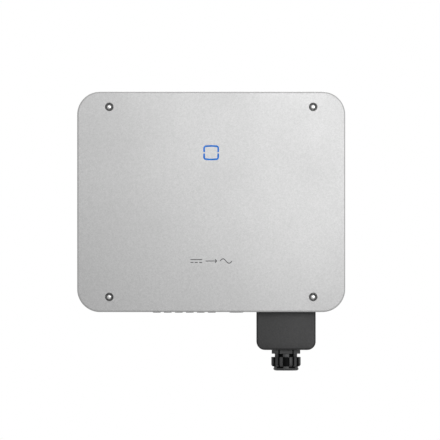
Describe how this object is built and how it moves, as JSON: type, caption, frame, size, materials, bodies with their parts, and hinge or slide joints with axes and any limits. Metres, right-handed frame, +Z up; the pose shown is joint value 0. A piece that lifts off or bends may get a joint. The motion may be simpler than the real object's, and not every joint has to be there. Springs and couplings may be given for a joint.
{
  "type": "string inverter",
  "caption": "Wall-hung solar string inverter: silver front cover with corner screws and a square status light ring, with plug connectors and a dark junction box with a cable gland below.",
  "frame": {"origin": "centre of the wall bracket's four bolt holes, on the wall's plane", "axes": "+Z up, +Y into the wall, so the front cover faces -Y; +X to the right of a person facing the cover"},
  "size_m": [0.702, 0.3102, 0.7313],
  "materials": {
    "silver_powder_coat": "fine satin powder coat",
    "dark_powder_coat": "fine matt powder coat",
    "black_nylon": "moulded, matt",
    "rubber_seal": "matt",
    "stainless": "polished",
    "zinc_steel": "galvanised",
    "sink_aluminium": "extruded, satin",
    "status_light": "translucent, lit",
    "copper": "bare copper",
    "tinned_contact": "tinned",
    "board_green": "solder mask",
    "capacitor_sleeve": "shrink sleeve",
    "potting": "cast resin",
    "relay_case": "moulded",
    "module_case": "moulded",
    "fan_plastic": "moulded",
    "terminal_plastic": "moulded"
  },
  "bodies": {
    "inverter_body": {"cover_standoffs": "zinc_steel", "indicator_board": "board_green", "enclosure_tub": "dark_powder_coat", "enclosure_lid": "dark_powder_coat", "enclosure_lid_gasket": "rubber_seal", "enclosure_lid_screws": "stainless", "side_handles": "dark_powder_coat", "earth_terminal": "stainless", "heat_sink": "sink_aluminium", "heat_sink_gasket": "rubber_seal", "duct_shroud": "zinc_steel", "back_wall_screws": "stainless", "exhaust_grille": "dark_powder_coat", "bracket_rail_left": "zinc_steel", "bracket_rail_right": "zinc_steel", "bracket_crossbars": "zinc_steel", "bracket_bolts": "stainless", "hanging_ears": "zinc_steel", "ac_box_gasket": "rubber_seal", "ac_terminal_block": "terminal_plastic", "ac_terminal_studs": "stainless", "copper_busbars": "copper", "dc_negative_sockets": "black_nylon", "dc_positive_noses": "black_nylon", "dc_contacts": "tinned_contact", "panel_nuts": "black_nylon", "com_gland_body": "black_nylon", "com_gland_seal": "rubber_seal", "dongle_port": "black_nylon", "pressure_vent": "black_nylon", "dc_switch_body": "terminal_plastic", "dc_switch_bezel": "black_nylon", "power_modules": "module_case", "power_board": "board_green", "dc_link_capacitors": "capacitor_sleeve", "grid_relays": "relay_case", "filter_inductors": "potting", "control_board": "board_green", "dc_input_board": "board_green"},
    "front_cover_body": {"front_cover": "silver_powder_coat", "cover_screw_cups": "black_nylon", "cover_screws": "stainless", "status_light_lens": "status_light"},
    "ac_box_body": {"ac_box_hood": "dark_powder_coat", "ac_box_screws": "stainless", "ac_gland_body": "black_nylon", "ac_gland_locknut": "black_nylon", "ac_gland_seal": "rubber_seal"},
    "ac_gland_ring_body": {"ac_gland_slip_ring": "black_nylon"},
    "ac_gland_nut_body": {"ac_gland_dome_nut": "black_nylon"},
    "com_gland_ring_body": {"com_gland_slip_ring": "black_nylon"},
    "com_gland_nut_body": {"com_gland_dome_nut": "black_nylon"},
    "dc_switch_knob_body": {"dc_switch_knob": "black_nylon"},
    "fan_tray_body": {"fan_tray_plate": "zinc_steel", "fan_tray_screws": "stainless", "fan_frames": "fan_plastic", "fan_guards": "stainless"},
    "fan_left_body": {"fan_rotor_left": "fan_plastic"},
    "fan_middle_body": {"fan_rotor_middle": "fan_plastic"},
    "fan_right_body": {"fan_rotor_right": "fan_plastic"}
  },
  "joints": [
    {"name": "front_cover_lift", "type": "slide", "parent": "inverter_body", "child": "front_cover_body", "axis": [0, -1, 0], "range_m": [0, 0.12]},
    {"name": "ac_box_drop", "type": "slide", "parent": "inverter_body", "child": "ac_box_body", "axis": [0, 0, -1], "range_m": [0, 0.14]},
    {"name": "ac_gland_nut_travel", "type": "slide", "parent": "ac_box_body", "child": "ac_gland_ring_body", "axis": [0, 0, -1], "range_m": [0, 0.0061]},
    {"name": "ac_gland_nut_turn", "type": "hinge", "parent": "ac_gland_ring_body", "child": "ac_gland_nut_body", "pos_m": [0.1965, -0.2185, -0.425], "axis": [0, 0, -1], "range_deg": [0, 1440]},
    {"name": "com_gland_nut_travel", "type": "slide", "parent": "inverter_body", "child": "com_gland_ring_body", "axis": [0, 0, -1], "range_m": [0, 0.0061]},
    {"name": "com_gland_nut_turn", "type": "hinge", "parent": "com_gland_ring_body", "child": "com_gland_nut_body", "pos_m": [0.066, -0.225, -0.28], "axis": [0, 0, -1], "range_deg": [0, 1440]},
    {"name": "dc_switch_turn", "type": "hinge", "parent": "inverter_body", "child": "dc_switch_knob_body", "pos_m": [-0.232, -0.21, -0.27], "axis": [0, 0, 1], "range_deg": [0, 90]},
    {"name": "fan_tray_slide", "type": "slide", "parent": "inverter_body", "child": "fan_tray_body", "axis": [0, 0, -1], "range_m": [0, 0.07]},
    {"name": "fan_left_spin", "type": "hinge", "parent": "fan_tray_body", "child": "fan_left_body", "pos_m": [-0.17, -0.084, -0.23], "axis": [0, 0, 1], "continuous": true},
    {"name": "fan_middle_spin", "type": "hinge", "parent": "fan_tray_body", "child": "fan_middle_body", "pos_m": [0, -0.084, -0.23], "axis": [0, 0, 1], "continuous": true},
    {"name": "fan_right_spin", "type": "hinge", "parent": "fan_tray_body", "child": "fan_right_body", "pos_m": [0.17, -0.084, -0.23], "axis": [0, 0, 1], "continuous": true}
  ],
  "couplings": [
    {"joint": "ac_gland_nut_travel", "follows": "ac_gland_nut_turn", "m_per_rad": 0.00023873},
    {"joint": "com_gland_nut_travel", "follows": "com_gland_nut_turn", "m_per_rad": 0.00023873}
  ]
}
